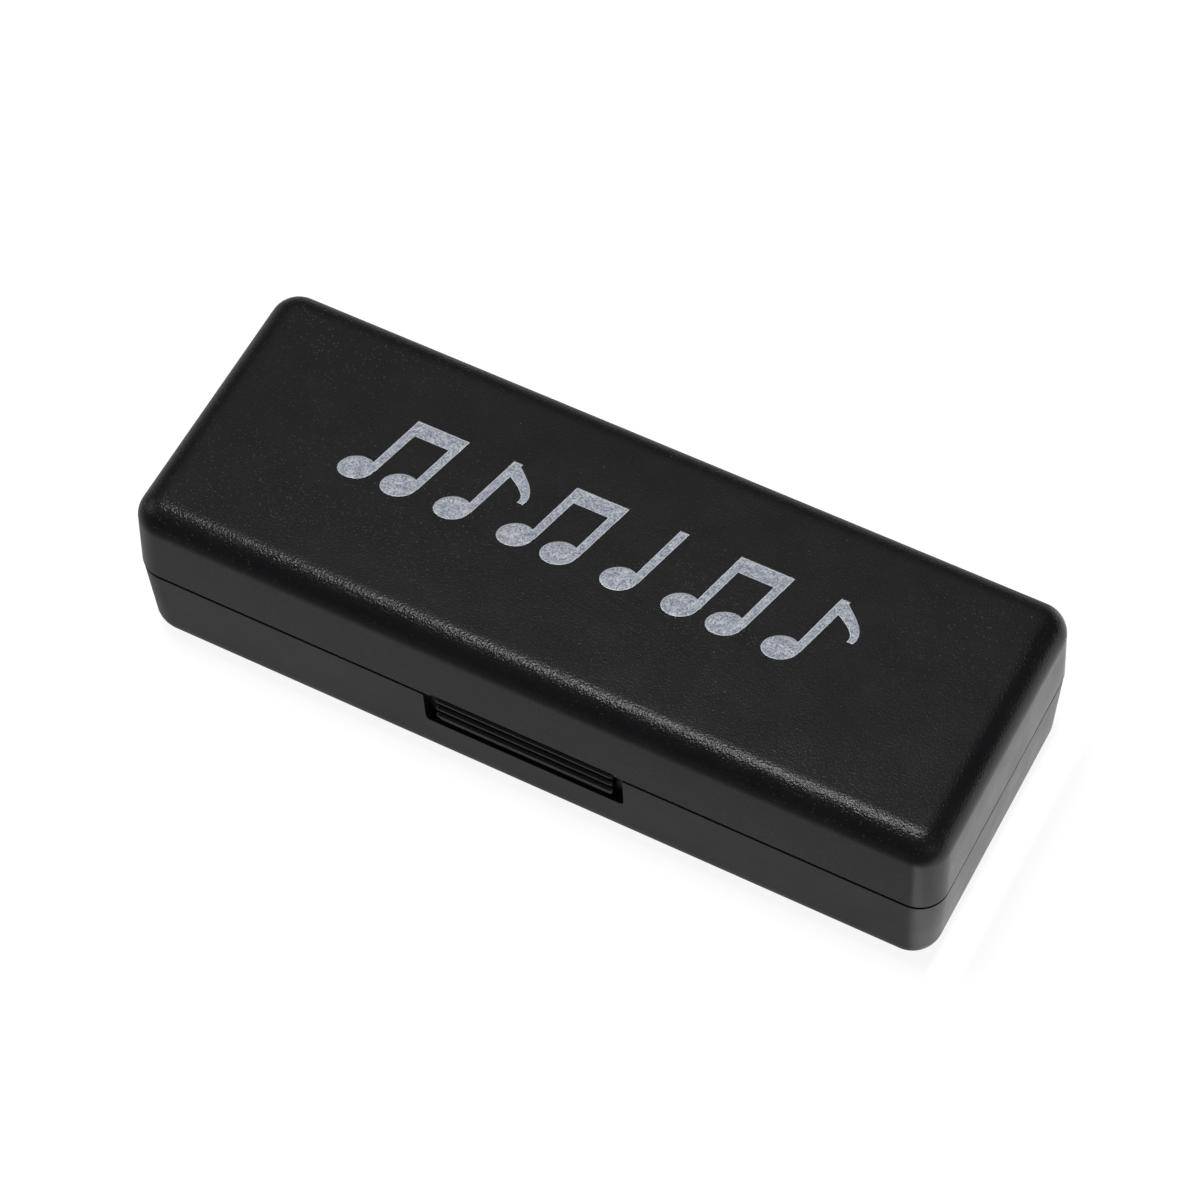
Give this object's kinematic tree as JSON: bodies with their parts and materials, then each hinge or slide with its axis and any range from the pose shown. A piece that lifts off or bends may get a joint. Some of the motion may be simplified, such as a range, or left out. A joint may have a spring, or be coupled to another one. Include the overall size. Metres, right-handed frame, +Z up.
{
  "type": "harmonica in a hinged case",
  "caption": "Diatonic harmonica in a black hinged plastic case with a ribbed front latch; comb, reed plates, sprung reeds and covers inside.",
  "frame": {"origin": "centre of the case's flat bottom face, without the hinge", "axes": "+X along the case with the low notes at -X, +Y from the latch and the mouthpiece to the hinge, +Z up"},
  "size_m": [0.12, 0.0478, 0.03],
  "materials": {
    "base_plastic": "satin black moulded plastic",
    "lid_plastic": "satin black moulded plastic with a fine grain",
    "latch_plastic": "satin black moulded plastic, ribbed",
    "pin_steel": "drawn steel wire",
    "bed_lining": "flocked foam",
    "pad_lining": "velvet-covered foam",
    "ornament_print": "silver-white stamped foil, grainy",
    "comb_plastic": "moulded plastic",
    "plate_brass": "milled brass",
    "reed_brass": "ground brass strip",
    "rivet_brass": "pressed brass",
    "cover_steel": "polished stainless sheet",
    "bolt_steel": "nickel-plated steel",
    "screw_brass": "brass screws"
  },
  "bodies": {
    "base": {"case_base": "base_plastic", "hinge_pins": "pin_steel", "base_cradle": "bed_lining", "comb": "comb_plastic", "upper_reed_plate": "plate_brass", "lower_reed_plate": "plate_brass", "blow_reed_pads": "reed_brass", "draw_reed_pads": "reed_brass", "blow_reed_rivets": "rivet_brass", "draw_reed_rivets": "rivet_brass", "upper_cover": "cover_steel", "lower_cover": "cover_steel", "cover_bolts": "bolt_steel", "cover_nuts": "bolt_steel", "reed_plate_screws": "screw_brass"},
    "lid": {"case_lid": "lid_plastic", "lid_pad": "pad_lining", "lid_ornament": "ornament_print"},
    "latch": {"latch_tab": "latch_plastic"},
    "blow_reed_01": {"blow_reed_01": "reed_brass"},
    "blow_reed_02": {"blow_reed_02": "reed_brass"},
    "blow_reed_03": {"blow_reed_03": "reed_brass"},
    "blow_reed_04": {"blow_reed_04": "reed_brass"},
    "blow_reed_05": {"blow_reed_05": "reed_brass"},
    "blow_reed_06": {"blow_reed_06": "reed_brass"},
    "blow_reed_07": {"blow_reed_07": "reed_brass"},
    "blow_reed_08": {"blow_reed_08": "reed_brass"},
    "blow_reed_09": {"blow_reed_09": "reed_brass"},
    "blow_reed_10": {"blow_reed_10": "reed_brass"},
    "draw_reed_01": {"draw_reed_01": "reed_brass"},
    "draw_reed_02": {"draw_reed_02": "reed_brass"},
    "draw_reed_03": {"draw_reed_03": "reed_brass"},
    "draw_reed_04": {"draw_reed_04": "reed_brass"},
    "draw_reed_05": {"draw_reed_05": "reed_brass"},
    "draw_reed_06": {"draw_reed_06": "reed_brass"},
    "draw_reed_07": {"draw_reed_07": "reed_brass"},
    "draw_reed_08": {"draw_reed_08": "reed_brass"},
    "draw_reed_09": {"draw_reed_09": "reed_brass"},
    "draw_reed_10": {"draw_reed_10": "reed_brass"}
  },
  "joints": [
    {"name": "case_lid_hinge", "type": "hinge", "parent": "base", "child": "lid", "pos_m": [0, 0.024, 0.0166], "axis": [-1, 0, 0], "range_deg": [0, 110]},
    {"name": "case_latch_flex", "type": "hinge", "parent": "lid", "child": "latch", "pos_m": [0, -0.021, 0.0172], "axis": [-1, 0, 0], "range_deg": [0, 8], "stiffness_Nm_per_rad": 0.05},
    {"name": "reed_blow_01", "type": "hinge", "parent": "base", "child": "blow_reed_01", "pos_m": [-0.03375, 0.0068, 0.0179], "axis": [-1, 0, 0], "range_deg": [-3, 3], "stiffness_Nm_per_rad": 0.0078},
    {"name": "reed_blow_02", "type": "hinge", "parent": "base", "child": "blow_reed_02", "pos_m": [-0.02625, 0.00591, 0.0179], "axis": [-1, 0, 0], "range_deg": [-3.2, 3.2], "stiffness_Nm_per_rad": 0.00648},
    {"name": "reed_blow_03", "type": "hinge", "parent": "base", "child": "blow_reed_03", "pos_m": [-0.01875, 0.00502, 0.0179], "axis": [-1, 0, 0], "range_deg": [-3.4, 3.4], "stiffness_Nm_per_rad": 0.00533},
    {"name": "reed_blow_04", "type": "hinge", "parent": "base", "child": "blow_reed_04", "pos_m": [-0.01125, 0.00413, 0.0179], "axis": [-1, 0, 0], "range_deg": [-3.6, 3.6], "stiffness_Nm_per_rad": 0.00434},
    {"name": "reed_blow_05", "type": "hinge", "parent": "base", "child": "blow_reed_05", "pos_m": [-0.00375, 0.00324, 0.0179], "axis": [-1, 0, 0], "range_deg": [-3.8, 3.8], "stiffness_Nm_per_rad": 0.00349},
    {"name": "reed_blow_06", "type": "hinge", "parent": "base", "child": "blow_reed_06", "pos_m": [0.00375, 0.00236, 0.0179], "axis": [-1, 0, 0], "range_deg": [-4.1, 4.1], "stiffness_Nm_per_rad": 0.00277},
    {"name": "reed_blow_07", "type": "hinge", "parent": "base", "child": "blow_reed_07", "pos_m": [0.01125, 0.00147, 0.0179], "axis": [-1, 0, 0], "range_deg": [-4.4, 4.4], "stiffness_Nm_per_rad": 0.00216},
    {"name": "reed_blow_08", "type": "hinge", "parent": "base", "child": "blow_reed_08", "pos_m": [0.01875, 0.00058, 0.0179], "axis": [-1, 0, 0], "range_deg": [-4.8, 4.8], "stiffness_Nm_per_rad": 0.00166},
    {"name": "reed_blow_09", "type": "hinge", "parent": "base", "child": "blow_reed_09", "pos_m": [0.02625, -0.00031, 0.0179], "axis": [-1, 0, 0], "range_deg": [-5.2, 5.2], "stiffness_Nm_per_rad": 0.00124},
    {"name": "reed_blow_10", "type": "hinge", "parent": "base", "child": "blow_reed_10", "pos_m": [0.03375, -0.0012, 0.0179], "axis": [-1, 0, 0], "range_deg": [-5.7, 5.7], "stiffness_Nm_per_rad": 0.000909},
    {"name": "reed_draw_01", "type": "hinge", "parent": "base", "child": "draw_reed_01", "pos_m": [-0.03375, -0.0076, 0.0104], "axis": [1, 0, 0], "range_deg": [-3, 3], "stiffness_Nm_per_rad": 0.0078},
    {"name": "reed_draw_02", "type": "hinge", "parent": "base", "child": "draw_reed_02", "pos_m": [-0.02625, -0.0076, 0.0104], "axis": [1, 0, 0], "range_deg": [-3.2, 3.2], "stiffness_Nm_per_rad": 0.00648},
    {"name": "reed_draw_03", "type": "hinge", "parent": "base", "child": "draw_reed_03", "pos_m": [-0.01875, -0.0076, 0.0104], "axis": [1, 0, 0], "range_deg": [-3.4, 3.4], "stiffness_Nm_per_rad": 0.00533},
    {"name": "reed_draw_04", "type": "hinge", "parent": "base", "child": "draw_reed_04", "pos_m": [-0.01125, -0.0076, 0.0104], "axis": [1, 0, 0], "range_deg": [-3.6, 3.6], "stiffness_Nm_per_rad": 0.00434},
    {"name": "reed_draw_05", "type": "hinge", "parent": "base", "child": "draw_reed_05", "pos_m": [-0.00375, -0.0076, 0.0104], "axis": [1, 0, 0], "range_deg": [-3.8, 3.8], "stiffness_Nm_per_rad": 0.00349},
    {"name": "reed_draw_06", "type": "hinge", "parent": "base", "child": "draw_reed_06", "pos_m": [0.00375, -0.0076, 0.0104], "axis": [1, 0, 0], "range_deg": [-4.1, 4.1], "stiffness_Nm_per_rad": 0.00277},
    {"name": "reed_draw_07", "type": "hinge", "parent": "base", "child": "draw_reed_07", "pos_m": [0.01125, -0.0076, 0.0104], "axis": [1, 0, 0], "range_deg": [-4.4, 4.4], "stiffness_Nm_per_rad": 0.00216},
    {"name": "reed_draw_08", "type": "hinge", "parent": "base", "child": "draw_reed_08", "pos_m": [0.01875, -0.0076, 0.0104], "axis": [1, 0, 0], "range_deg": [-4.8, 4.8], "stiffness_Nm_per_rad": 0.00166},
    {"name": "reed_draw_09", "type": "hinge", "parent": "base", "child": "draw_reed_09", "pos_m": [0.02625, -0.0076, 0.0104], "axis": [1, 0, 0], "range_deg": [-5.2, 5.2], "stiffness_Nm_per_rad": 0.00124},
    {"name": "reed_draw_10", "type": "hinge", "parent": "base", "child": "draw_reed_10", "pos_m": [0.03375, -0.0076, 0.0104], "axis": [1, 0, 0], "range_deg": [-5.7, 5.7], "stiffness_Nm_per_rad": 0.000909}
  ]
}
